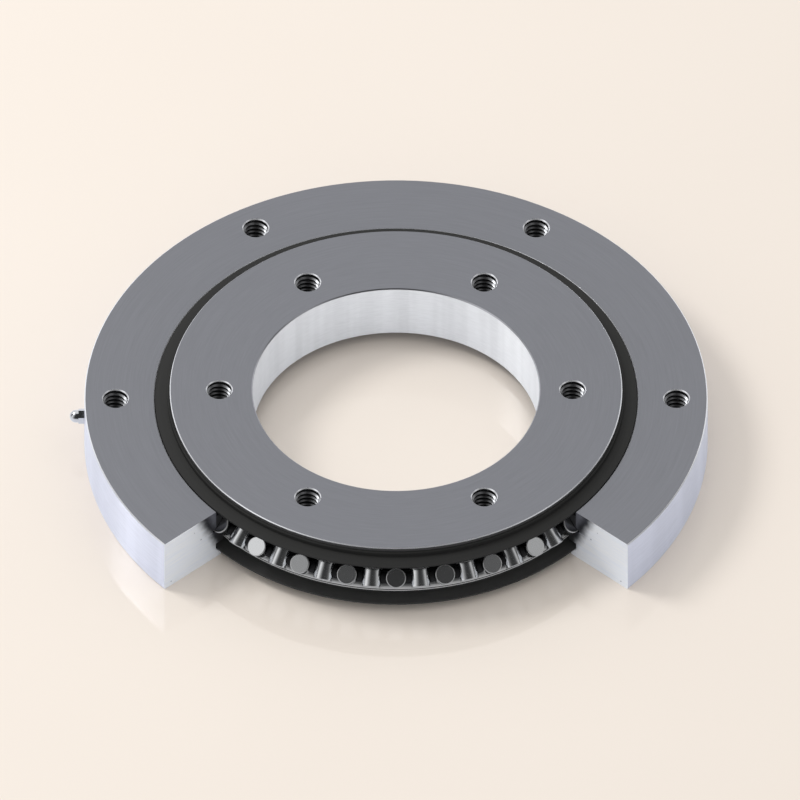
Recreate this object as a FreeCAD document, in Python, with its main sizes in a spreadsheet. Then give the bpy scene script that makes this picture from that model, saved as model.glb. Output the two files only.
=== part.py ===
import FreeCAD, Part

import math
import os

import Sketcher

# Crossed roller bearing, cut open at the front to show its rollers.
# Lengths are in millimetres, angles in degrees, and the bearing's axis is Z.
# Profiles are drawn with height 0 at the face that the outer ring stands on. The finished
# pieces are then lowered, so that the origin lies on the axis in the plane of the roller centres.

SIZES = {
    # Rings
    "ring_height": 30,
    "inner_rise": 6,
    "outer_edge_chamfer": 0.5,
    "bore_chamfer": 0.5,
    "small_edge": 0.4,
    # Raceway, and the walls of both rings measured from its pitch circle
    "pitch_diameter": 222,
    "outer_wall": 39,
    "inner_wall": 42,
    "land_gap": 1.4,
    "land_height": 18.4,
    "relief_width": 1.6,
    "relief_depth": 0.6,
    # Steps from the pitch circle, above and below the lands
    "seal_seat_step": 2.1,
    "upper_recess_step": 5.3,
    "lower_recess_step": 5.6,
    "bottom_lip_step": 2.4,
    "bottom_lip_height": 1.7,
    "lower_lip_room": 1,
    # Rollers and the spacers between them
    "roller_pairs": 30,
    "cut_out_pairs": 8,
    "roller_gap": 2.02,
    "roller_end_play": 0.3,
    "roller_chamfer": 0.9,
    "roller_clearance": 0.1,
    "spacer_diameter": 5.4,
    "spacer_length": 7,
    "spacer_clearance": 0.2,
    # Tapped holes, placed from the outside and from the bore
    "bolt_count": 6,
    "outer_bolt_edge": 15,
    "inner_bolt_edge": 16,
    "thread_diameter": 12,
    "thread_mouth": 0.5,
    # Seals on the inner ring
    "seal_set_back": 2,
    "seal_hub_width": 1.2,
    "lip_drop": 2.4,
    "lip_root": 1.2,
    "lip_tip": 0.9,
    "lip_fall": 1.2,
    "lower_lip_rise": 1.2,
    "lower_lip_fall": 1.0,
    "lip_gap": 0.3,
    # Filling plug and its pin, at the back
    "plug_diameter": 15,
    "pin_diameter": 4,
    "pin_edge": 16,
    "pin_past_plug": 1.5,
    "pin_set_in": 0.5,
    # Grease nipple at the left, and its duct past the bolt hole
    "nipple_thread": 6,
    "nipple_stem": 3.5,
    "nipple_hexagon": 6.5,
    "nipple_hexagon_height": 2.8,
    "nipple_head": 6.1,
    "nipple_neck": 1.2,
    "grease_bore": 2.4,
    "nipple_mouth": 1.5,
    "nipple_mouth_depth": 0.9,
    "nipple_ball": 2,
    "duct_end_angle": 17.3,
    # Fits
    "fit_gap": 0.02,
}

WORKED_SIZES = {
    # Radii, from the bore to the outside
    "pitch_radius": "=Sizes.pitch_diameter / 2",
    "bore_radius": "=pitch_radius - Sizes.inner_wall",
    "inner_bolts": "=bore_radius + Sizes.inner_bolt_edge",
    "seat_radius": "=pitch_radius - Sizes.seal_seat_step",
    "seal_hub": "=seat_radius + Sizes.seal_hub_width",
    "inner_land": "=pitch_radius - Sizes.land_gap / 2",
    "outer_land": "=pitch_radius + Sizes.land_gap / 2",
    "bottom_lip": "=pitch_radius + Sizes.bottom_lip_step",
    "upper_recess": "=pitch_radius + Sizes.upper_recess_step",
    "lower_recess": "=pitch_radius + Sizes.lower_recess_step",
    "outer_radius": "=pitch_radius + Sizes.outer_wall",
    "outer_bolts": "=outer_radius - Sizes.outer_bolt_edge",
    "pin_place": "=outer_radius - Sizes.pin_edge",
    "nipple_seat": "=outer_radius - Sizes.nipple_stem",
    # Heights
    "top_height": "=Sizes.ring_height + Sizes.inner_rise",
    "pitch_height": "=(Sizes.ring_height + Sizes.inner_rise) / 2",
    "pin_hole_depth": "=pitch_height + Sizes.plug_diameter / 2 + Sizes.pin_past_plug",
    "pin_length": "=pin_hole_depth - Sizes.pin_set_in",
    # Groove and rollers
    "roller_step": "=180 / Sizes.roller_pairs",
    "roller_diameter": "=2 * pitch_radius * sin(roller_step / 2) - Sizes.roller_gap",
    "half_diagonal": "=(roller_diameter + 2 * Sizes.roller_clearance) / sqrt(2)",
    "land_half_opening": "=half_diagonal - Sizes.land_gap / 2",
    "relief_half": "=Sizes.relief_width / 2",
    "groove_bottom": "=pitch_radius + half_diagonal",
    "roller_radius": "=roller_diameter / 2",
    "roller_length": "=roller_diameter - Sizes.roller_end_play",
    "roller_half_length": "=roller_length / 2",
    "cut_out_angle": "=360 * Sizes.cut_out_pairs / Sizes.roller_pairs",
    "thread_radius": "=Sizes.thread_diameter / 2",
    # Grease duct: how far it runs inwards and sideways, from the nipple to the groove
    "duct_inwards": "=nipple_seat - groove_bottom * cos(Sizes.duct_end_angle)",
    "duct_sideways": "=groove_bottom * sin(Sizes.duct_end_angle)",
}

LAND_TOP = "Worked.pitch_height + Sizes.land_height / 2"
LAND_BOTTOM = "Worked.pitch_height - Sizes.land_height / 2"
TO_PLUS_X = FreeCAD.Rotation(FreeCAD.Vector(0, 1, 0), 90)
TO_MINUS_X = FreeCAD.Rotation(FreeCAD.Vector(0, 1, 0), -90)
TO_PLUS_Y = FreeCAD.Rotation(FreeCAD.Vector(1, 0, 0), -90)
AXIS = FreeCAD.Vector(0, 0, 1)
FRONT_AZIMUTH = 270


def add_sheet(name, cells):
    """A spreadsheet with one named cell for each size."""
    sheet = doc.addObject("Spreadsheet::Sheet", name)
    for row, (alias, content) in enumerate(cells.items(), start=1):
        sheet.set(f"A{row}", alias)
        sheet.set(f"B{row}", str(content))
        sheet.setAlias(f"B{row}", alias)
    doc.recompute()
    return sheet


def size(alias):
    """The number in a named cell of either sheet."""
    return float(getattr(worked if alias in WORKED_SIZES else sizes, alias))


def origin_part(body, role):
    """An origin plane or axis of a body."""
    return next(part for part in body.Origin.OriginFeatures if part.Role == role)


def outline(body, name, plane, corners):
    """A closed sketch of straight edges. Each corner is a pair of formulas."""
    sketch = body.newObject("Sketcher::SketchObject", name)
    sketch.AttachmentSupport = [(origin_part(body, plane), "")]
    sketch.MapMode = "FlatFace"
    places = [[float(sketch.evalExpression(formula)) for formula in corner] for corner in corners]
    points = [FreeCAD.Vector(across, up, 0) for across, up in places]
    last = len(points) - 1
    for number, point in enumerate(points):
        sketch.addGeometry(Part.LineSegment(point, points[number + 1 if number < last else 0]))
    joins = [
        Sketcher.Constraint("Coincident", number, 2, number + 1 if number < last else 0, 1)
        for number in range(len(points))
    ]
    sketch.addConstraint(joins)
    for number, corner in enumerate(corners):
        for kind, across_axis, formula, place in zip(
            ("DistanceX", "DistanceY"), (-2, -1), corner, places[number]
        ):
            if formula == "0":
                sketch.addConstraint(Sketcher.Constraint("PointOnObject", number, 1, across_axis))
            else:
                index = sketch.addConstraint(Sketcher.Constraint(kind, -1, 1, number, 1, place))
                sketch.setExpression(f"Constraints[{index}]", formula)
    return sketch


def revolve(body, name, corners):
    """Turn an outline in the XZ plane a full turn about Z."""
    sketch = outline(body, f"{name}_outline", "XZ_Plane", corners)
    solid = body.newObject("PartDesign::Revolution", name)
    solid.Profile = sketch
    solid.ReferenceAxis = (sketch, ["V_Axis"])
    solid.Angle = 360
    return solid


def new_body(label):
    body = doc.addObject("PartDesign::Body", f"{label}_body")
    body.Label = label
    return body


def drill_bolt_circle(body, circle, low, high):
    """Through holes for the threads, with a chamfered mouth at each face."""
    wall = f"{circle} + Worked.thread_radius"
    mouth = f"{wall} + Sizes.thread_mouth"
    corners = [
        (circle, low),
        (circle, high),
        (mouth, high),
        (wall, f"{high} - Sizes.thread_mouth"),
        (wall, f"{low} + Sizes.thread_mouth"),
        (mouth, low),
    ]
    sketch = outline(body, "bolt_hole_outline", "XZ_Plane", corners)
    hole = body.newObject("PartDesign::Groove", "bolt_hole")
    hole.Profile = sketch
    hole.ReferenceAxis = (sketch, ["Edge1"])
    hole.Angle = 360
    circle_of_holes = body.newObject("PartDesign::PolarPattern", "bolt_circle")
    circle_of_holes.Originals = [hole]
    circle_of_holes.Axis = (origin_part(body, "Z_Axis"), [""])
    circle_of_holes.Angle = 360
    circle_of_holes.setExpression("Occurrences", "Sizes.bolt_count")
    body.Tip = circle_of_holes


def cylinder(name, radius, length, centre, turn):
    """A round tool or piece: its base centre is three formulas, and turn aims its axis."""
    solid = doc.addObject("Part::Cylinder", name)
    solid.setExpression("Radius", radius)
    solid.setExpression("Height", length)
    place(solid, centre, turn)
    return solid


def place(solid, centre, turn=FreeCAD.Rotation()):
    solid.Placement = FreeCAD.Placement(FreeCAD.Vector(), turn)
    for axis, formula in zip("xyz", centre):
        if formula != "0":
            solid.setExpression(f"Placement.Base.{axis}", formula)


def lower(solid):
    """Bring a piece that is drawn from the floor to the frame of the roller centres."""
    place(solid, ("0", "0", "-Worked.pitch_height"))
    return solid


def fuse(name, solids):
    joined = doc.addObject("Part::MultiFuse", name)
    joined.Shapes = solids
    return joined


def cut(label, base, tool):
    rest = doc.addObject("Part::Cut", label)
    rest.Label = label
    rest.Base = base
    rest.Tool = tool
    return rest


def groove_corners(land, apex, outwards):
    """The V groove's corners from its lower edge to its upper one, with a relief at the bottom."""
    sign = "+" if outwards else "-"
    back = "-" if outwards else "+"
    flank_end = f"{apex} {back} Worked.relief_half"
    relief = f"{apex} {sign} Sizes.relief_depth"
    return [
        (land, "Worked.pitch_height - Worked.land_half_opening"),
        (flank_end, "Worked.pitch_height - Worked.relief_half"),
        (relief, "Worked.pitch_height - Worked.relief_half"),
        (relief, "Worked.pitch_height + Worked.relief_half"),
        (flank_end, "Worked.pitch_height + Worked.relief_half"),
        (land, "Worked.pitch_height + Worked.land_half_opening"),
    ]


def outer_ring_corners():
    groove = groove_corners("Worked.outer_land", "Worked.groove_bottom", outwards=True)
    return [
        ("Worked.bottom_lip", "0"),
        ("Worked.outer_radius - Sizes.outer_edge_chamfer", "0"),
        ("Worked.outer_radius", "Sizes.outer_edge_chamfer"),
        ("Worked.outer_radius", "Sizes.ring_height - Sizes.outer_edge_chamfer"),
        ("Worked.outer_radius - Sizes.outer_edge_chamfer", "Sizes.ring_height"),
        ("Worked.upper_recess + Sizes.small_edge", "Sizes.ring_height"),
        ("Worked.upper_recess", "Sizes.ring_height - Sizes.small_edge"),
        ("Worked.upper_recess", LAND_TOP),
        ("Worked.outer_land", LAND_TOP),
        *reversed(groove),
        ("Worked.outer_land", LAND_BOTTOM),
        ("Worked.lower_recess", LAND_BOTTOM),
        ("Worked.lower_recess", "Sizes.inner_rise - Sizes.lower_lip_room"),
        ("Worked.bottom_lip", "Sizes.bottom_lip_height"),
    ]


def plug_pin_hole():
    """The hole for the pin that keeps the filling plug in the outer ring, open below."""
    radius = "Sizes.pin_diameter / 2 + Sizes.fit_gap"
    return cylinder("pin_hole", radius, "Worked.pin_hole_depth", ("0", "Worked.pin_place", "0"),
                    FreeCAD.Rotation())


def outer_ring():
    """The outer ring: V groove inside, bolt circle, cut-out at the front, and drilled openings."""
    body = doc.addObject("PartDesign::Body", "outer_ring_blank")
    revolve(body, "outer_ring_section", outer_ring_corners())
    drill_bolt_circle(body, "Worked.outer_bolts", "0", "Sizes.ring_height")
    outside = "-2 * Worked.outer_radius"
    inside = "-Worked.inner_land"
    under = "-Sizes.ring_height"
    over = "2 * Sizes.ring_height"
    window = outline(
        body,
        "cut_out_outline",
        "YZ_Plane",
        [(outside, under), (inside, under), (inside, over), (outside, over)],
    )
    cut_out = body.newObject("PartDesign::Groove", "cut_out")
    cut_out.Profile = window
    cut_out.ReferenceAxis = (window, ["V_Axis"])
    cut_out.setExpression("Angle", "Worked.cut_out_angle")
    cut_out.Midplane = True
    body.Tip = cut_out

    plug_hole = cylinder(
        "plug_hole",
        "Sizes.plug_diameter / 2",
        "Worked.outer_radius",
        ("0", "Worked.inner_land", "Worked.pitch_height"),
        TO_PLUS_Y,
    )
    nipple_hole = cylinder(
        "nipple_hole",
        "Sizes.nipple_thread / 2",
        "2 * Sizes.nipple_stem",
        ("-Worked.nipple_seat", "0", "Worked.pitch_height"),
        TO_MINUS_X,
    )
    slant = math.degrees(math.atan2(size("duct_sideways"), size("duct_inwards")))
    duct = cylinder(
        "grease_duct",
        "Sizes.grease_bore / 2",
        "sqrt(Worked.duct_inwards^2 + Worked.duct_sideways^2)",
        ("-Worked.nipple_seat", "0", "Worked.pitch_height"),
        FreeCAD.Rotation(AXIS, slant).multiply(TO_PLUS_X),
    )
    openings = fuse("outer_ring_openings", [plug_hole, plug_pin_hole(), nipple_hole, duct])
    return lower(cut("outer_ring", body, openings))


def inner_ring():
    """The inner ring: bore, bolt circle, V groove outside, and a seat above and below its land."""
    body = new_body("inner_ring")
    apex = "Worked.pitch_radius - Worked.half_diagonal"
    corners = [
        ("Worked.bore_radius + Sizes.bore_chamfer", "Sizes.inner_rise"),
        ("Worked.seat_radius", "Sizes.inner_rise"),
        ("Worked.seat_radius", LAND_BOTTOM),
        ("Worked.inner_land", LAND_BOTTOM),
        *groove_corners("Worked.inner_land", apex, outwards=False),
        ("Worked.inner_land", LAND_TOP),
        ("Worked.seat_radius", LAND_TOP),
        ("Worked.seat_radius", "Worked.top_height - Sizes.small_edge"),
        ("Worked.seat_radius - Sizes.small_edge", "Worked.top_height"),
        ("Worked.bore_radius + Sizes.bore_chamfer", "Worked.top_height"),
        ("Worked.bore_radius", "Worked.top_height - Sizes.bore_chamfer"),
        ("Worked.bore_radius", "Sizes.inner_rise + Sizes.bore_chamfer"),
    ]
    revolve(body, "inner_ring_section", corners)
    drill_bolt_circle(body, "Worked.inner_bolts", "Sizes.inner_rise", "Worked.top_height")
    return lower(body)


def upper_seal():
    """The seal on the inner ring's upper seat: a hub with a lip that reaches the outer ring."""
    body = new_body("upper_seal")
    seat = "Worked.seat_radius + Sizes.fit_gap"
    tip = "Worked.upper_recess - Sizes.lip_gap"
    hub_top = "Worked.top_height - Sizes.seal_set_back"
    root_top = f"{hub_top} - Sizes.lip_drop"
    tip_top = f"{root_top} - Sizes.lip_fall"
    corners = [
        (seat, LAND_TOP),
        ("Worked.seal_hub", LAND_TOP),
        ("Worked.seal_hub", f"{root_top} - Sizes.lip_root"),
        (tip, f"{tip_top} - Sizes.lip_tip"),
        (tip, tip_top),
        ("Worked.seal_hub", root_top),
        ("Worked.seal_hub", f"{hub_top} - Sizes.small_edge"),
        ("Worked.seal_hub - Sizes.small_edge", hub_top),
        (seat, hub_top),
    ]
    revolve(body, "upper_seal_section", corners)
    return lower(body)


def lower_seal():
    """The seal on the inner ring's lower seat: a short hub, flush below, with the same kind of lip."""
    body = new_body("lower_seal")
    seat = "Worked.seat_radius + Sizes.fit_gap"
    tip = "Worked.lower_recess - Sizes.lip_gap"
    root_top = "Sizes.inner_rise + Sizes.lower_lip_rise"
    tip_top = f"{root_top} - Sizes.lower_lip_fall"
    corners = [
        (seat, "Sizes.inner_rise"),
        ("Worked.seal_hub", "Sizes.inner_rise"),
        (tip, f"{tip_top} - Sizes.lip_tip"),
        (tip, tip_top),
        ("Worked.seal_hub", root_top),
        ("Worked.seal_hub", LAND_BOTTOM),
        (seat, LAND_BOTTOM),
    ]
    revolve(body, "lower_seal_section", corners)
    return lower(body)


def filling_plug():
    """The plug that closes the hole where the rollers go in. Its inner end carries on the groove."""
    body = doc.addObject("PartDesign::Body", "plug_blank")
    revolve(body, "plug_section", outer_ring_corners())
    bar = cylinder(
        "plug_bar",
        "Sizes.plug_diameter / 2 - Sizes.fit_gap",
        "Worked.outer_radius",
        ("0", "Worked.inner_land", "Worked.pitch_height"),
        TO_PLUS_Y,
    )
    plug = doc.addObject("Part::MultiCommon", "plug_end")
    plug.Shapes = [body, bar]
    return lower(cut("filling_plug", plug, plug_pin_hole()))


def plug_pin():
    """The pin through the ring and the plug, pushed to the bottom of its hole."""
    pin = cylinder(
        "plug_pin",
        "Sizes.pin_diameter / 2",
        "Worked.pin_length",
        ("0", "Worked.pin_place", "Sizes.pin_set_in - Worked.pitch_height"),
        FreeCAD.Rotation(),
    )
    pin.Label = "plug_pin"
    return pin


def nipple_body():
    """The grease nipple: threaded stem, hexagon and domed head, with a bore for ball and grease."""
    upright = FreeCAD.Rotation()
    stem = cylinder("nipple_stem_solid", "Sizes.nipple_thread / 2 - Sizes.fit_gap", "Sizes.nipple_stem",
                    ("0", "0", "-Sizes.nipple_stem"), upright)
    hexagon = doc.addObject("Part::Prism", "nipple_hexagon_solid")
    hexagon.Polygon = 6
    hexagon.setExpression("Circumradius", "Sizes.nipple_hexagon / sqrt(3)")
    hexagon.setExpression("Height", "Sizes.nipple_hexagon_height")
    neck = cylinder("nipple_neck_solid", "Sizes.nipple_head / 2", "Sizes.nipple_neck",
                    ("0", "0", "Sizes.nipple_hexagon_height"), upright)
    dome = doc.addObject("Part::Sphere", "nipple_dome")
    dome.setExpression("Radius", "Sizes.nipple_head / 2")
    place(dome, ("0", "0", "Sizes.nipple_hexagon_height + Sizes.nipple_neck"))
    outside = fuse("nipple_outside", [stem, hexagon, neck, dome])
    tip = "(Sizes.nipple_hexagon_height + Sizes.nipple_neck + Sizes.nipple_head / 2)"
    bore = cylinder("nipple_bore_tool", "Sizes.grease_bore / 2",
                    f"Sizes.nipple_stem + {tip} - Sizes.nipple_mouth_depth",
                    ("0", "0", "-Sizes.nipple_stem"), upright)
    mouth = cylinder("nipple_mouth_tool", "Sizes.nipple_mouth / 2", tip, ("0", "0", "0"), upright)
    nipple = cut("nipple_body", outside, fuse("nipple_inside", [bore, mouth]))
    place(nipple, ("-Worked.outer_radius", "0", "0"), TO_MINUS_X)
    return nipple


def nipple_ball():
    """The ball that closes the nipple's mouth from inside, against the shoulder of the bore."""
    ball = doc.addObject("Part::Sphere", "nipple_ball")
    ball.Label = "nipple_ball"
    ball.setExpression("Radius", "Sizes.nipple_ball / 2 - Sizes.fit_gap")
    shoulder = (
        "Sizes.nipple_hexagon_height + Sizes.nipple_neck + Sizes.nipple_head / 2 - Sizes.nipple_mouth_depth"
    )
    sink = "sqrt((Sizes.nipple_ball / 2)^2 - (Sizes.nipple_mouth / 2)^2)"
    place(ball, (f"-Worked.outer_radius - ({shoulder} - {sink})", "0", "0"))
    return ball


def roller_aim(step, rising):
    """Aim a roller's axis at its step from the front: outwards and up, or outwards and down."""
    azimuth = FRONT_AZIMUTH + step * size("roller_step")
    tilt = 45 if rising else 135
    around = FreeCAD.Rotation(AXIS, azimuth)
    tipped = FreeCAD.Rotation(FreeCAD.Vector(0, 1, 0), tilt)
    centre = around.multVec(FreeCAD.Vector(size("pitch_radius"), 0, 0))
    return FreeCAD.Placement(centre, around.multiply(tipped))


def roller(label, step):
    """A short cylinder with chamfered ends. Rollers at even steps rise outwards, the others dip."""
    body = new_body(label)
    corners = [
        ("0", "-Worked.roller_half_length"),
        ("Worked.roller_radius - Sizes.roller_chamfer", "-Worked.roller_half_length"),
        ("Worked.roller_radius", "-Worked.roller_half_length + Sizes.roller_chamfer"),
        ("Worked.roller_radius", "Worked.roller_half_length - Sizes.roller_chamfer"),
        ("Worked.roller_radius - Sizes.roller_chamfer", "Worked.roller_half_length"),
        ("0", "Worked.roller_half_length"),
    ]
    revolve(body, f"{label}_section", corners)
    body.Placement = roller_aim(step, rising=step % 2 == 0)
    return body


def exposed_rollers():
    """The rollers that the cut-out shows, from left to right, each a piece of its own."""
    reach = int(size("cut_out_pairs"))
    counts = {"rising": 0, "dipping": 0}
    rollers = []
    for step in range(-reach, reach + 1):
        kind = "rising" if step % 2 == 0 else "dipping"
        counts[kind] += 1
        rollers.append(roller(f"{kind}_roller_{counts[kind]}", step))
    return rollers


def turned_copies(label, shape, turns):
    """Copies of a shape about the bearing's axis, as one group of separate solids."""
    copies = []
    for turn in turns:
        copy = shape.copy()
        copy.rotate(FreeCAD.Vector(), AXIS, turn)
        copies.extend(copy.Solids)
    group = doc.addObject("Part::Feature", label)
    group.Label = label
    group.Shape = Part.makeCompound(copies)
    return group


def hidden_rollers(rollers):
    """The rollers inside the rest of the ring, one group for each way that they point."""
    steps = 2 * int(size("roller_pairs"))
    reach = int(size("cut_out_pairs"))
    groups = []
    for first, label in enumerate(("hidden_rising_rollers", "hidden_dipping_rollers")):
        turns = [
            (step - first) * size("roller_step")
            for step in range(reach + 1, steps - reach)
            if step % 2 == first
        ]
        groups.append(turned_copies(label, rollers[reach + first].Shape, turns))
    return groups


def roller_spacers():
    """Small saddles between the rollers, each with two seats that lie square to each other.

    They are all the same piece. Every other one has a quarter turn, to fit its neighbours.
    """
    half_step = "Worked.roller_step / 2"
    across = f"Worked.pitch_radius * cos({half_step})"
    disc = cylinder("spacer_disc", "Sizes.spacer_diameter / 2", "Sizes.spacer_length",
                    (across, "-Sizes.spacer_length / 2", "0"), TO_PLUS_Y)
    reach = "Worked.roller_length / sqrt(2)"
    seats = []
    for name, side, tilt in (("rising_seat", "-", 45), ("dipping_seat", "", 135)):
        centre = (f"{across} - {reach}", f"{side}Worked.pitch_radius * sin({half_step})", f"{side}{reach}")
        aim = FreeCAD.Rotation(FreeCAD.Vector(0, 1, 0), tilt)
        seat = cylinder(name, "Worked.roller_radius + Sizes.spacer_clearance", "2 * Worked.roller_length",
                        centre, aim)
        seats.append(seat)
    saddle = cut("spacer_saddle", disc, fuse("spacer_seats", seats))
    doc.recompute()

    quarter_turned = saddle.Shape.copy()
    middle = FreeCAD.Vector(disc.Placement.Base.x, 0, 0)
    quarter_turned.rotate(middle, FreeCAD.Vector(0, 1, 0), 90)
    quarter_turned.rotate(FreeCAD.Vector(), AXIS, size("roller_step"))
    pair = Part.makeCompound([*saddle.Shape.Solids, *quarter_turned.Solids])
    start = FRONT_AZIMUTH + size("roller_step") / 2
    pairs = range(int(size("roller_pairs")))
    turns = [start + 2 * number * size("roller_step") for number in pairs]
    return turned_copies("roller_spacers", pair, turns)


def check_document():
    """Stop if any object failed without raising."""
    for item in doc.Objects:
        if "Invalid" in item.State or "Error" in item.State:
            raise RuntimeError(f"{item.Name} failed: {item.State}")


def write_pieces(pieces):
    """Write each piece to a STEP file with its own name."""
    os.makedirs("parts", exist_ok=True)
    for piece in pieces:
        shape = piece.Shape
        if shape.isNull() or not shape.isValid() or not shape.Solids:
            raise RuntimeError(f"{piece.Label} has no valid shape")
        shape.exportStep(f"parts/{piece.Label}.step")
        print(f"{piece.Label}: {len(shape.Solids)} solids, {shape.Volume:.1f} mm3")


doc = FreeCAD.newDocument("CrossedRollerBearing")
sizes = add_sheet("Sizes", SIZES)
worked = add_sheet("Worked", WORKED_SIZES)

shown_rollers = exposed_rollers()
doc.recompute()
pieces = [
    outer_ring(),
    inner_ring(),
    upper_seal(),
    lower_seal(),
    filling_plug(),
    plug_pin(),
    nipple_body(),
    nipple_ball(),
    *shown_rollers,
    *hidden_rollers(shown_rollers),
    roller_spacers(),
]
doc.recompute()
check_document()
write_pieces(pieces)
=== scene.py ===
import math

import bmesh
import bpy
from mathutils import Matrix, Vector


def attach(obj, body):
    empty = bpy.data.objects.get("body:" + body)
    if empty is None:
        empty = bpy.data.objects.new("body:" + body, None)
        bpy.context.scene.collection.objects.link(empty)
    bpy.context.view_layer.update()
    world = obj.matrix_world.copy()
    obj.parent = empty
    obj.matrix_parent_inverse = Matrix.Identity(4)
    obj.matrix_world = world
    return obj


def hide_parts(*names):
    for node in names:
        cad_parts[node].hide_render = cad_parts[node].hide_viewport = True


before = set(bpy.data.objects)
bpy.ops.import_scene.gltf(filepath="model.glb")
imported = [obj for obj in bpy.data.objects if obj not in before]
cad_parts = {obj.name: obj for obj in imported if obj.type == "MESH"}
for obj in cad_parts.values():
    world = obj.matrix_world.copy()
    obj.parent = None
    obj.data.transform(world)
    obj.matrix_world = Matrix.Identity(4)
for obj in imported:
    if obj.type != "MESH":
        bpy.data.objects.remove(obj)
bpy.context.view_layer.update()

# Looks of the cut-away crossed roller bearing. Lengths are in metres and azimuths in degrees. The
# bearing's axis is Z, the cut-out is at the front, towards -Y, and the origin lies in the plane of
# the roller centres.

FLOOR = -0.018  # the bearing's underside
PITCH_RADIUS = 0.111  # circle of the roller centres

# The bolt holes' circles, and the heights between which their threads run
OUTER_HOLES = {"radius": 0.135, "azimuths": (0, 60, 120, 180), "low": -0.0175, "high": 0.0118}
INNER_HOLES = {"radius": 0.085, "azimuths": range(0, 360, 60), "low": -0.0115, "high": 0.0178}
HOLE_RADIUS = 0.006
HOLE_SPACING = 60
THREAD_PITCH = 0.0025
THREAD_ROOT = HOLE_RADIUS + 0.00006  # the ridge's foot, just inside the steel
THREAD_CREST = 0.0051

# The rollers are a micrometre smaller than the CAD's, with the photograph's narrower rims
ROLLER_RADIUS = 0.004799
ROLLER_HALF = 0.004649
ROLLER_ROUNDING = 0.00045
ROLLER_STEP = 12  # azimuth from one roller to the next that leans the same way
ROLLERS_PER_LEAN = 30


# Node trees

def scaled(colour, factor):
    return tuple(factor * value for value in colour)


class Nodes:
    """A node tree, with short calls that add nodes and join them."""

    def __init__(self, tree):
        self.tree = tree

    def join(self, value, socket):
        """Set a socket to a number or colour, or link another node's output to it."""
        if isinstance(value, bpy.types.NodeSocket):
            self.tree.links.new(value, socket)
        elif isinstance(value, tuple) and len(value) == 3 and socket.type == "RGBA":
            socket.default_value = (*value, 1)
        else:
            socket.default_value = value

    def node(self, kind, settings=None, **inputs):
        node = self.tree.nodes.new(kind)
        for name, value in (settings or {}).items():
            setattr(node, name, value)
        for name, value in inputs.items():
            self.join(value, node.inputs[name.replace("_", " ")])
        return node

    def math(self, operation, *values, clamp=False):
        node = self.node("ShaderNodeMath", {"operation": operation, "use_clamp": clamp})
        for value, socket in zip(values, node.inputs):
            self.join(value, socket)
        return node.outputs[0]

    def chain(self, operation, first, *others):
        """One operation over any number of values."""
        for other in others:
            first = self.math(operation, first, other)
        return first

    def below(self, value, limit):
        return self.math("LESS_THAN", value, limit)

    def above(self, value, limit):
        return self.math("GREATER_THAN", value, limit)

    def near(self, value, target, reach):
        """1 where the value is within reach of the target, and 0 elsewhere."""
        return self.below(self.math("ABSOLUTE", self.math("SUBTRACT", value, target)), reach)

    def all_of(self, *masks):
        return self.chain("MULTIPLY", *masks)

    def outside(self, mask):
        return self.math("SUBTRACT", 1.0, mask)

    def step(self, value, low, high, start=0.0, end=1.0):
        """A smooth step of a value from start, where it is low, to end, where it is high."""
        node = self.node("ShaderNodeMapRange", {"interpolation_type": "SMOOTHSTEP"})
        for value, socket in zip((value, low, high, start, end), node.inputs):
            self.join(value, socket)
        return node.outputs[0]

    def mix(self, factor, first, second):
        """A colour between two colours."""
        node = self.node("ShaderNodeMix", {"data_type": "RGBA"})
        sockets = (node.inputs[0], node.inputs[6], node.inputs[7])
        for value, socket in zip((factor, first, second), sockets):
            self.join(value, socket)
        return node.outputs[2]

    def varied(self, factor, colour, weak, strong):
        """A colour whose strength goes from weak to strong with a factor."""
        return self.mix(factor, scaled(colour, weak), scaled(colour, strong))

    def parts(self, vector):
        node = self.node("ShaderNodeSeparateXYZ", Vector=vector)
        return node.outputs[0], node.outputs[1], node.outputs[2]

    def length(self, x, y):
        squares = self.math("ADD", self.math("MULTIPLY", x, x), self.math("MULTIPLY", y, y))
        return self.math("SQRT", squares)

    def noise(self, vector, scale, detail, roughness=0.55):
        node = self.node("ShaderNodeTexNoise", Vector=vector, Scale=scale, Detail=detail,
                         Roughness=roughness)
        return node.outputs[0]

    def streaks(self, places, scales, detail, roughness=0.55):
        """Noise with a scale for each of its three coordinates, for grain and fine lines."""
        x, y, z = (self.math("MULTIPLY", *pair) for pair in zip(places, scales))
        vector = self.node("ShaderNodeCombineXYZ", X=x, Y=y, Z=z).outputs[0]
        return self.noise(vector, 1.0, detail, roughness)


class Shader(Nodes):
    """A node material with a Principled surface."""

    def __init__(self, name):
        self.material = bpy.data.materials.new(name)
        self.material.use_nodes = True
        super().__init__(self.material.node_tree)
        self.surface = self.tree.nodes["Principled BSDF"]

    def place(self):
        """The point on the piece, in the piece's own frame."""
        return self.node("ShaderNodeTexCoord").outputs["Object"]

    def bump(self, height, distance, strength):
        node = self.node("ShaderNodeBump", Height=height, Distance=distance, Strength=strength)
        self.join(node.outputs[0], self.surface.inputs["Normal"])

    def finish(self, **inputs):
        for name, value in inputs.items():
            self.join(value, self.surface.inputs[name.replace("_", " ")])
        return self.material


# Objects

def dress(name, material):
    """Give a CAD node its material."""
    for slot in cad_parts[name].material_slots:
        slot.material = material


def add_object(name, data):
    thing = bpy.data.objects.new(name, data)
    bpy.context.collection.objects.link(thing)
    return thing


def add_piece(name, mesh, material):
    """A new object from a finished bmesh, at the origin."""
    data = bpy.data.meshes.new(name)
    mesh.to_mesh(data)
    mesh.free()
    data.materials.append(material)
    return add_object(name, data)


# Steel of the rings

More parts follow.
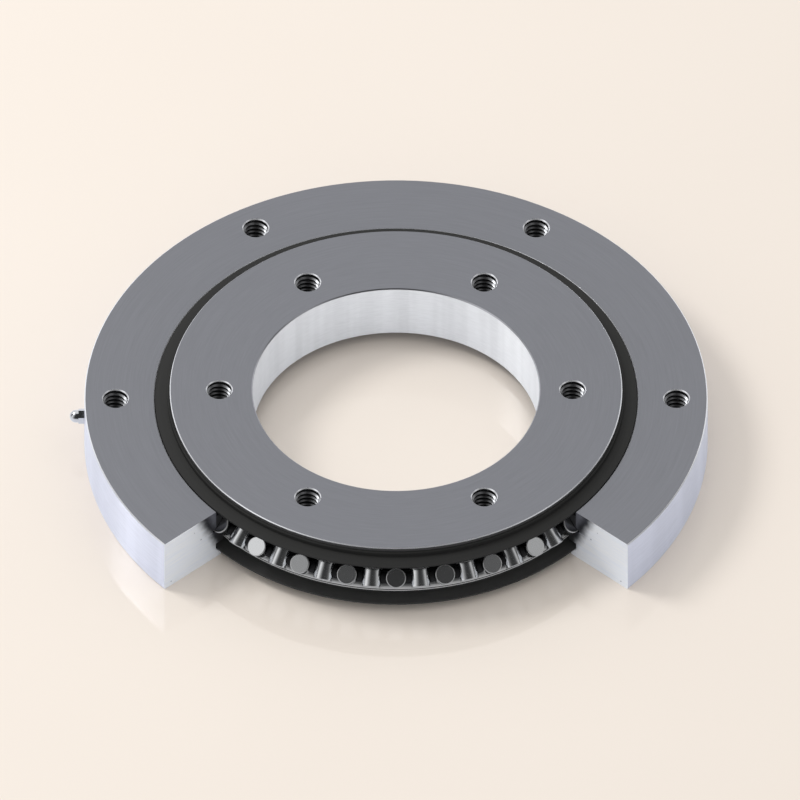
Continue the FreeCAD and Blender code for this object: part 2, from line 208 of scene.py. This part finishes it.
FLAT_PAINTED_SHADE = (0.211, 0.216, 0.238)  # flat faces, painted shade: darker than the walls for the dark reflection they show
WALL_PAINTED_LIGHT = (0.79, 0.805, 0.91)  # walls, painted light: lighter than the flat faces for the bright reflection they show
BORE_PAINTED_LIGHT = (0.98, 0.985, 1.0)  # the bore's wall, painted light: lighter still, making up for the shade inside the bore
# painted highlight: bevels near white, lighter than the walls, for bright edge lines
BEVELLED = (0.95, 0.96, 1.0)
BORE_BEVELLED = (0.50, 0.50, 0.54)
# painted shade: the bolt holes' walls near black for the dark inside the deep holes
HOLE_PAINTED_SHADE = (0.015, 0.015, 0.016)
SHADE_BY_SEAL = (0.062, 0.062, 0.063)  # painted shade on the inner ring's wall above the upper seal
LAND = (0.84, 0.84, 0.84)  # the narrow walls below the grooves, the lit end of the painted shade
LAND_LINE = (0.05, 0.05, 0.05)  # a fine dark line along them
FLANK_PAINTED_SHADE = (0.03, 0.03, 0.032)  # painted shade in the grooves above them
BLACK = (0.0, 0.0, 0.0)

WALL_ROUGHNESS = 0.3
FLAT_ROUGHNESS = 0.4
WALL_METAL = 0.5
FLAT_METAL = 0.6
BEVEL_METAL_MORE = 0.25
BORE_METAL_LESS = 0.3
GROOVE_METAL_LESS = 0.42
BY_SEAL_METAL_LESS = 0.5

# Levelness is 1 on a flat face, 0 on a wall and about 0.7 on a bevel
FLAT_LEVELNESS = (0.85, 0.97)
BEVEL_LEVELNESS = 0.3

BORE_EDGE = 0.0697  # a little more than the bore with its bevels
HOLE_EDGE = HOLE_RADIUS + 0.0002
GROOVE_REACH = 0.0079  # a little more than a groove's depth from the pitch circle
LAND_HALF = 0.0093  # a little more than half the height of groove and lands
LAND_FADE = (-0.0083, -0.0046)  # heights between which the painted shade darkens the land into the groove
LAND_LINE_HEIGHT = -0.0084
LAND_LINE_HALF = 0.00028
BY_SEAL_FOOT = 0.0125  # a little more than the outer ring's top
BY_SEAL_RADIUS = 0.10885  # a little less than the inner ring's wall there


class RingSteel(Shader):
    """Steel of a ring, with masks that are 1 on one kind of face and 0 on all others."""

    def __init__(self, name, hole_circle):
        super().__init__(name)
        self.spot = self.place()
        self.x, self.y, self.z = self.parts(self.spot)
        self.radius = self.length(self.x, self.y)
        self.east = self.math("DIVIDE", self.x, self.radius)
        self.north = self.math("DIVIDE", self.y, self.radius)

        normal = self.node("ShaderNodeNewGeometry").outputs["True Normal"]
        levelness = self.math("ABSOLUTE", self.parts(normal)[2])
        self.flat = self.step(levelness, *FLAT_LEVELNESS)
        self.bore = self.below(self.radius, BORE_EDGE)
        self.groove = self.all_of(self.near(self.radius, PITCH_RADIUS, GROOVE_REACH),
                                  self.near(self.z, 0, LAND_HALF))
        self.bevel = self.all_of(self.above(levelness, BEVEL_LEVELNESS), self.outside(self.flat),
                                 self.outside(self.groove))
        self.bore_bevel = self.all_of(self.bevel, self.bore)
        self.hole = self.below(self.from_hole(hole_circle), HOLE_EDGE)
        self.shade_by_seal = self.all_of(self.above(self.z, BY_SEAL_FOOT),
                                   self.above(self.radius, BY_SEAL_RADIUS),
                                   self.outside(self.bevel))

    def from_hole(self, hole_circle):
        """Distance from the axis of the nearest bolt hole."""
        azimuth = self.math("ARCTAN2", self.y, self.x)
        half = math.radians(HOLE_SPACING / 2)
        folded = self.math("WRAP", azimuth, half, -half)
        outwards = self.math("MULTIPLY", self.radius, self.math("COSINE", folded))
        sideways = self.math("MULTIPLY", self.radius, self.math("SINE", folded))
        return self.length(self.math("SUBTRACT", outwards, hole_circle), sideways)

    def grain(self):
        """Turned lines that run round the axis, on flat faces and on walls."""
        across = self.math("MULTIPLY_ADD", self.z, 1.7, self.radius)
        return self.streaks((across, self.east, self.north), (1400, 5, 5), 4.0, 0.7)

    def wall_colour(self, grain):
        """Walls painted light and the bore painted lighter still, with soft upright bands and fine
        level hairs.
        """
        walls = self.varied(grain, WALL_PAINTED_LIGHT, 0.93, 1.07)
        walls = self.mix(self.bore, walls, self.varied(grain, BORE_PAINTED_LIGHT, 0.96, 1.0))
        bands = self.streaks((self.east, self.north, self.z), (8, 8, 6), 2.0)
        hairs = self.streaks((self.z, self.east, self.north), (1500, 12, 12), 3.0)
        darkness = self.math("ADD", self.step(bands, 0.35, 0.65, 0.0, 0.08),
                             self.step(hairs, 0.35, 0.65, 0.0, 0.05))
        return self.mix(darkness, walls, BLACK)

    def groove_shade_colour(self):
        """A bright land that darkens upwards into the groove in painted shade, with a line along
        its foot.
        """
        colour = self.mix(self.step(self.z, *LAND_FADE), LAND, FLANK_PAINTED_SHADE)
        return self.mix(self.near(self.z, LAND_LINE_HEIGHT, LAND_LINE_HALF), colour, LAND_LINE)

    def colour(self, grain):
        """Walls and flat faces in painted light and shade, with the smaller faces' colours,
        painted shade and highlights among them, laid over them in turn.
        """
        colour = self.mix(self.flat, self.wall_colour(grain),
                          self.varied(grain, FLAT_PAINTED_SHADE, 0.86, 1.14))
        for mask, over in ((self.groove, self.groove_shade_colour()),
                           (self.hole, HOLE_PAINTED_SHADE),
                           (self.shade_by_seal, SHADE_BY_SEAL),
                           (self.bevel, BEVELLED),
                           (self.bore_bevel, BORE_BEVELLED)):
            colour = self.mix(mask, colour, over)
        return colour

    def metal(self):
        """How metallic the faces are. The less so, the more of their base colour, painted light
        and shade included, they show.
        """
        metal = self.step(self.flat, 0, 1, WALL_METAL, FLAT_METAL)
        metal = self.math("MULTIPLY_ADD", self.bevel, BEVEL_METAL_MORE, metal)
        less = self.chain("MAXIMUM", self.math("MULTIPLY", self.bore, BORE_METAL_LESS),
                          self.math("MULTIPLY", self.groove, GROOVE_METAL_LESS),
                          self.math("MULTIPLY", self.shade_by_seal, BY_SEAL_METAL_LESS))
        metal = self.math("SUBTRACT", metal, less, clamp=True)
        return self.math("MAXIMUM", metal, self.bore_bevel)


# The outer ring's cut faces: bright brushed steel, painted shade and reflection round the groove

CUT_AZIMUTHS = (222, 318)
CUT_REACH = 0.00004  # from a cut's plane
CUT_METAL_LESS = 0.4

BRUSHED = ((0.92, 0.945, 1.0), (0.985, 0.99, 1.0))
# Painted shade and a painted dark reflection round the groove: grey near it, black further out
REFLECTED_SHADE_NEAR = (0.14, 0.143, 0.165)  # by the groove
REFLECTED_SHADE_FAR = (0.022, 0.023, 0.028)
REFLECTED_SHADE_LINE = (0.30, 0.30, 0.34)
REFLECTED_SHADE_CORE = (0.03, 0.03, 0.032)  # beside the land

# The painted shade ends along a slanting line, whose radius is SLANT_RADIUS at the middle
# height and grows by SLANT with the height. Distances from it are outwards.
SLANT = 0.47
SLANT_RADIUS = 0.1222
WISPS = 0.003  # how far the line wanders in all
REFLECTED_SHADE_DARKENS = (-0.0085, -0.0038)
REFLECTED_SHADE_ENDS = (-0.0042, 0.0030)
REFLECTED_SHADE_FOOT = (-0.0140, -0.0120)  # heights between which it begins
REFLECTED_SHADE_LINE_HEIGHT = -0.0006
REFLECTED_SHADE_LINE_HALF = 0.00018
CORE_EDGE = (0.1162, 0.1168)  # radii between which the core ends
CORE_FOOT = -0.0130

PIT = (0.12, 0.12, 0.14)
PIT_STRENGTH = 0.7
PITS = (  # radius, height and size
    (0.1262, -0.0001, 0.0006),
    (0.1456, -0.0155, 0.00055),
    (0.1305, 0.0070, 0.0004),
)


def cut_faces(steel):
    """The mask of the two cut faces. Each lies in an upright plane through the axis."""
    faces = []
    for azimuth in CUT_AZIMUTHS:
        angle = math.radians(azimuth)
        off_plane = steel.math("SUBTRACT", steel.math("MULTIPLY", steel.x, math.sin(angle)),
                               steel.math("MULTIPLY", steel.y, math.cos(angle)))
        faces.append(steel.near(off_plane, 0, CUT_REACH))
    return steel.all_of(steel.chain("MAXIMUM", *faces), steel.below(steel.y, 0))


def from_slant(steel):
    """Distance outwards from the painted shade's slanting line, with small wisps."""
    slant = steel.math("MULTIPLY_ADD", steel.z, SLANT, SLANT_RADIUS)
    clouds = steel.noise(steel.spot, 260.0, 2.0)
    wisps = steel.math("MULTIPLY_ADD", clouds, WISPS, -WISPS / 2)
    return steel.math("ADD", steel.math("SUBTRACT", steel.radius, slant), wisps)


def reflected_shade_colour(steel, outwards):
    """Painted shade: grey near the groove and black further out, with a light level line and a
    dark core.
    """
    colour = steel.mix(steel.step(outwards, *REFLECTED_SHADE_DARKENS), REFLECTED_SHADE_NEAR, REFLECTED_SHADE_FAR)
    line = steel.near(steel.z, REFLECTED_SHADE_LINE_HEIGHT, REFLECTED_SHADE_LINE_HALF)
    colour = steel.mix(line, colour, REFLECTED_SHADE_LINE)
    core = steel.all_of(steel.step(steel.radius, *CORE_EDGE, 1.0, 0.0),
                        steel.above(steel.z, CORE_FOOT))
    return steel.mix(core, colour, REFLECTED_SHADE_CORE)


def cut_colour(steel):
    """Level brushed lines, then the painted shade and reflection, then a few small dark pits."""
    lines = steel.streaks((steel.z, steel.radius, steel.x), (1100, 45, 45), 4.0, 0.65)
    colour = steel.mix(steel.step(lines, 0.3, 0.7), *BRUSHED)
    outwards = from_slant(steel)
    reflected_shade = steel.all_of(steel.step(outwards, *REFLECTED_SHADE_ENDS, 1.0, 0.0),
                        steel.step(steel.z, *REFLECTED_SHADE_FOOT))
    colour = steel.mix(reflected_shade, colour, reflected_shade_colour(steel, outwards))
    for radius, height, size in PITS:
        distance = steel.length(steel.math("SUBTRACT", steel.radius, radius),
                                steel.math("SUBTRACT", steel.z, height))
        pit = steel.step(distance, 0.3 * size, size, PIT_STRENGTH, 0.0)
        colour = steel.mix(pit, colour, PIT)
    return colour


def ring_steel(name, hole_circle, cut=False):
    """Flat faces painted darker than the walls, walls painted light, bolt holes painted black as
    shade, and for the outer ring its cut faces.
    """
    steel = RingSteel(name, hole_circle)
    grain = steel.grain()
    colour, metal = steel.colour(grain), steel.metal()
    if cut:
        faces = cut_faces(steel)
        colour = steel.mix(faces, colour, cut_colour(steel))
        metal = steel.math("SUBTRACT", metal, steel.math("MULTIPLY", faces, CUT_METAL_LESS))
    steel.bump(grain, distance=0.00002, strength=0.3)
    roughness = steel.step(steel.flat, 0, 1, WALL_ROUGHNESS, FLAT_ROUGHNESS)
    return steel.finish(Base_Color=colour, Metallic=metal, Roughness=roughness)


dress("outer_ring", ring_steel("outer ring steel", OUTER_HOLES["radius"], cut=True))
dress("inner_ring", ring_steel("inner ring steel", INNER_HOLES["radius"]))
dress("filling_plug", ring_steel("plug steel", OUTER_HOLES["radius"]))


# Rollers

def roller_steel():
    """Polished steel: fine lines round the side, turned rings on the ends, duller rounded rims."""
    shader = Shader("roller steel")
    own = shader.node("ShaderNodeAttribute", {"attribute_name": "own"}).outputs["Vector"]
    x, y, z = shader.parts(own)
    radius = shader.length(x, y)
    grain = shader.streaks((shader.math("ADD", radius, z), x, y), (3000, 1, 1), 2.0)
    rounding = shader.all_of(
        shader.above(radius, ROLLER_RADIUS - ROLLER_ROUNDING),
        shader.above(shader.math("ABSOLUTE", z), ROLLER_HALF - ROLLER_ROUNDING))
    colour = shader.mix(grain, (0.66, 0.67, 0.68), (0.78, 0.79, 0.80))
    colour = shader.mix(rounding, colour, (0.62, 0.62, 0.62))
    metal = shader.math("SUBTRACT", 1.0, shader.math("MULTIPLY", rounding, 0.3))
    roughness = shader.math("MULTIPLY_ADD", rounding, 0.15, shader.step(grain, 0, 1, 0.12, 0.2))
    return shader.finish(Base_Color=colour, Metallic=metal, Roughness=roughness)


def roller_outline():
    """Radius and height along a roller, from its upper end over both rims to its lower end."""
    bends = 5
    upper = []
    for number in range(bends + 1):
        angle = math.pi / 2 * (1 - number / bends)
        upper.append((ROLLER_RADIUS - ROLLER_ROUNDING * (1 - math.cos(angle)),
                      ROLLER_HALF - ROLLER_ROUNDING * (1 - math.sin(angle))))
    return upper + [(radius, -height) for radius, height in reversed(upper)]


def add_roller(mesh, own, azimuth, tilt):
    """One roller on the pitch circle. Each vertex keeps its place in the roller's own frame."""
    around = 80
    turned = Matrix.Rotation(math.radians(azimuth), 4, "Z")
    tilted = Matrix.Rotation(math.radians(tilt), 4, "Y")
    place = turned @ Matrix.Translation((PITCH_RADIUS, 0, 0)) @ tilted
    rings = []
    for radius, height in roller_outline():
        ring = []
        for number in range(around):
            angle = 2 * math.pi * number / around
            point = Vector((radius * math.cos(angle), radius * math.sin(angle), height))
            vertex = mesh.verts.new(place @ point)
            vertex[own] = point
            ring.append(vertex)
        rings.append(ring)
    for upper, lower in zip(rings, rings[1:]):
        for number in range(around):
            after = (number + 1) % around
            corners = (upper[number], lower[number], lower[after], upper[after])
            mesh.faces.new(corners).smooth = True
    for end in (mesh.faces.new(rings[0]), mesh.faces.new(reversed(rings[-1]))):
        for edge in end.edges:
            edge.smooth = False


def rounded_rollers(node, body, azimuths, tilt, material):
    """Rollers with the narrow rims that the photograph shows, in place of a CAD node's."""
    mesh = bmesh.new()
    own = mesh.verts.layers.float_vector.new("own")
    for azimuth in azimuths:
        add_roller(mesh, own, azimuth, tilt)
    piece = add_piece(node + "_rounded", mesh, material)
    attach(piece, body)
    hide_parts(node)


def dress_rollers():
    """For each lean, the rollers in the cut-out, each on its own body, and the hidden group."""
    material = roller_steel()
    for lean, first, tilt, seen in (("rising", 222, 45, 9), ("dipping", 228, 135, 8)):
        azimuths = [first + ROLLER_STEP * number for number in range(ROLLERS_PER_LEAN)]
        for number in range(seen):
            node = f"{lean}_roller_{number + 1}"
            rounded_rollers(node, node, azimuths[number:number + 1], tilt, material)
        hidden = f"hidden_{lean}_rollers"
        rounded_rollers(hidden, "roller_set", azimuths[seen:], tilt, material)


dress_rollers()


# Seals, spacers, pin and nipple

def rubber(name, low, high):
    """Matt rubber or plastic, its colour between two, with turned lines and a fine bump."""
    shader = Shader(name)
    place = shader.place()
    x, y, _ = shader.parts(place)
    grain = shader.streaks((shader.length(x, y), x, y), (1200, 30, 30), 3.0)
    shader.bump(shader.noise(place, 2500.0, 2.0), distance=0.00003, strength=0.5)
    return shader.finish(Base_Color=shader.mix(grain, low, high), Roughness=0.6,
                         Specular_IOR_Level=0.2)


def small_steel(name, low, high, roughness):
    """Plain steel, its colour between two."""
    shader = Shader(name)
    grain = shader.noise(shader.place(), 1800.0, 3.0)
    return shader.finish(Base_Color=shader.mix(grain, low, high), Metallic=1.0,
                         Roughness=roughness)


dress("upper_seal", rubber("upper seal rubber", (0.017, 0.017, 0.0165), (0.025, 0.025, 0.024)))
# Lighter than the upper seal's rubber: painted light that makes up for the shade the lower seal
# lies in.
dress("lower_seal", rubber("lower seal rubber", (0.030, 0.030, 0.029), (0.041, 0.041, 0.040)))
dress("roller_spacers", rubber("spacer plastic", (0.008, 0.008, 0.009), (0.013, 0.013, 0.014)))
dress("nipple_body", small_steel("nipple steel", (0.60, 0.61, 0.64), (0.70, 0.71, 0.74), 0.12))
dress("nipple_ball", small_steel("ball steel", (0.6, 0.6, 0.62), (0.7, 0.7, 0.72), 0.12))
dress("plug_pin", small_steel("pin steel", (0.45, 0.45, 0.47), (0.55, 0.55, 0.57), 0.3))


# Threads in the bolt holes

def thread_ridge(mesh, centre, low, high):
    """One closed helical ridge against a hole's wall. It runs out to nothing at both ends."""
    steps_per_turn = 40
    run_out_steps = 8
    least_rise = 0.02  # at the ends, as a share of the full ridge, so that no face is empty
    margin = 0.4 * THREAD_PITCH  # from the hole's ends to the ridge's middle
    count = round((high - low - 2 * margin) / THREAD_PITCH * steps_per_turn)
    rings = []
    for number in range(count + 1):
        angle = 2 * math.pi * number / steps_per_turn
        height = low + margin + THREAD_PITCH * number / steps_per_turn
        rise = max(least_rise, min(1.0, number / run_out_steps, (count - number) / run_out_steps))
        crest = THREAD_ROOT - (THREAD_ROOT - THREAD_CREST) * rise
        outline = ((THREAD_ROOT, -0.3366), (crest, -0.0891), (crest, 0.0594), (THREAD_ROOT, 0.297))
        rings.append([
            mesh.verts.new((centre[0] + radius * math.cos(angle),
                            centre[1] + radius * math.sin(angle),
                            height + pitches * THREAD_PITCH))
            for radius, pitches in outline
        ])
    for here, there in zip(rings, rings[1:]):
        for first, second in ((0, 1), (1, 2), (2, 3), (3, 0)):
            mesh.faces.new((here[first], here[second], there[second], there[first]))
    mesh.faces.new(rings[0])
    mesh.faces.new(reversed(rings[-1]))


def threads(name, body, holes, material):
    mesh = bmesh.new()
    for azimuth in holes["azimuths"]:
        angle = math.radians(azimuth)
        centre = (holes["radius"] * math.cos(angle), holes["radius"] * math.sin(angle))
        thread_ridge(mesh, centre, holes["low"], holes["high"])
    bmesh.ops.recalc_face_normals(mesh, faces=mesh.faces)
    piece = add_piece(name, mesh, material)
    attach(piece, body)


# The threads' steel is dark: painted shade for the insides of the deep holes.
thread_steel_painted_shade = small_steel("thread steel", (0.20, 0.203, 0.21), (0.27, 0.274, 0.285), 0.28)
threads("outer_threads", "outer", OUTER_HOLES, thread_steel_painted_shade)
threads("inner_threads", "inner", INNER_HOLES, thread_steel_painted_shade)


# Floor, light and camera

FLOOR_HALF_WIDTH = 4
FLOOR_SEEN = ((0.83, 0.75, 0.67), (0.88, 0.80, 0.72))
FLOOR_BOUNCE = (0.86, 0.87, 0.90)  # for bounced light and reflections

DISTANCE_SEEN = (0.83, 0.74, 0.67)
EVEN_LIGHT = (0.83, 0.83, 0.83)
STUDIO = (  # azimuth, where 0 is towards the camera and 90 to the right, and its brightness
    (-180, 0.95), (-125, 0.9), (-105, 0.22), (-91, 0.2), (-79, 0.95), (-70, 0.95), (-60, 0.68),
    (-47, 0.34), (-24, 0.055), (0, 0.03), (36, 0.05), (50, 0.12), (62, 0.34), (72, 0.55),
    (79, 0.55), (91, 0.12), (105, 0.14), (125, 0.85), (180, 0.95),
)

CAMERA_ELEVATION = 44.6
CAMERA_DISTANCE = 1.5
CAMERA_ASIDE = 0.001925
CAMERA_UPWARDS = 0.0078
VIEW_WIDTH = 0.38498


def add_floor():
    """A polished pale floor, warm to the camera and neutral in the light that it bounces."""
    shader = Shader("polished pale floor")
    clouds = shader.noise(shader.place(), 3.0, 2.0)
    seen = shader.node("ShaderNodeLightPath").outputs["Is Camera Ray"]
    colour = shader.mix(seen, FLOOR_BOUNCE, shader.mix(clouds, *FLOOR_SEEN))
    mesh = bmesh.new()
    bmesh.ops.create_grid(mesh, x_segments=1, y_segments=1, size=FLOOR_HALF_WIDTH)
    material = shader.finish(Base_Color=colour, Roughness=0.06, Specular_IOR_Level=0.5)
    floor = add_piece("floor", mesh, material)
    floor.location.z = FLOOR


def studio_brightness(nodes):
    """The studio's brightness in a reflection, by the azimuth of the ray."""
    direction = nodes.node("ShaderNodeTexCoord").outputs["Generated"]
    x, y, _ = nodes.parts(direction)
    azimuth = nodes.math("ARCTAN2", x, nodes.math("MULTIPLY", y, -1.0))
    turned = nodes.node("ShaderNodeMapRange", Value=azimuth, From_Min=-math.pi, From_Max=math.pi)
    ramp = nodes.node("ShaderNodeValToRGB", Fac=turned.outputs[0])
    elements = ramp.color_ramp.elements
    while len(elements) < len(STUDIO):
        elements.new(0.5)
    for element, (degrees, level) in zip(elements, STUDIO):
        element.position = (degrees + 180) / 360
        element.color = (level, level, level, 1)
    return ramp.outputs[0]


def add_world():
    """Even light. Only reflections show the studio, which is dark behind the camera."""
    world = bpy.data.worlds.new("studio")
    bpy.context.scene.world = world
    world.use_nodes = True
    nodes = Nodes(world.node_tree)
    rays = nodes.node("ShaderNodeLightPath")
    light = nodes.mix(rays.outputs["Is Glossy Ray"], EVEN_LIGHT, studio_brightness(nodes))
    light = nodes.mix(rays.outputs["Is Camera Ray"], light, DISTANCE_SEEN)
    nodes.join(light, nodes.tree.nodes["Background"].inputs["Color"])


def add_lamp(name, place, target, width, power):
    """A round lamp that faces a target."""
    light = bpy.data.lights.new(name, "AREA")
    light.shape = "DISK"
    light.size = width
    light.energy = power
    lamp = add_object(name, light)
    lamp.location = place
    aim = Vector(target) - Vector(place)
    lamp.rotation_euler = aim.to_track_quat("-Z", "Y").to_euler()


def add_camera():
    """A camera without perspective, at the photograph's angle and scale."""
    data = bpy.data.cameras.new("camera")
    data.type = "ORTHO"
    data.ortho_scale = VIEW_WIDTH
    camera = add_object("camera", data)
    elevation = math.radians(CAMERA_ELEVATION)
    backwards = Vector((0, -math.cos(elevation), math.sin(elevation)))
    upwards = Vector((0, math.sin(elevation), math.cos(elevation)))
    aside = Vector((1, 0, 0))
    camera.location = (CAMERA_ASIDE * aside + CAMERA_UPWARDS * upwards
                       + CAMERA_DISTANCE * backwards)
    camera.rotation_euler = (math.pi / 2 - elevation, 0, 0)
    bpy.context.scene.camera = camera


add_floor()
add_world()
add_lamp("key", place=(-1.3, 0.5, 1.6), target=(0, 0, 0), width=0.8, power=16)
add_camera()
bpy.context.scene.view_settings.view_transform = "Standard"
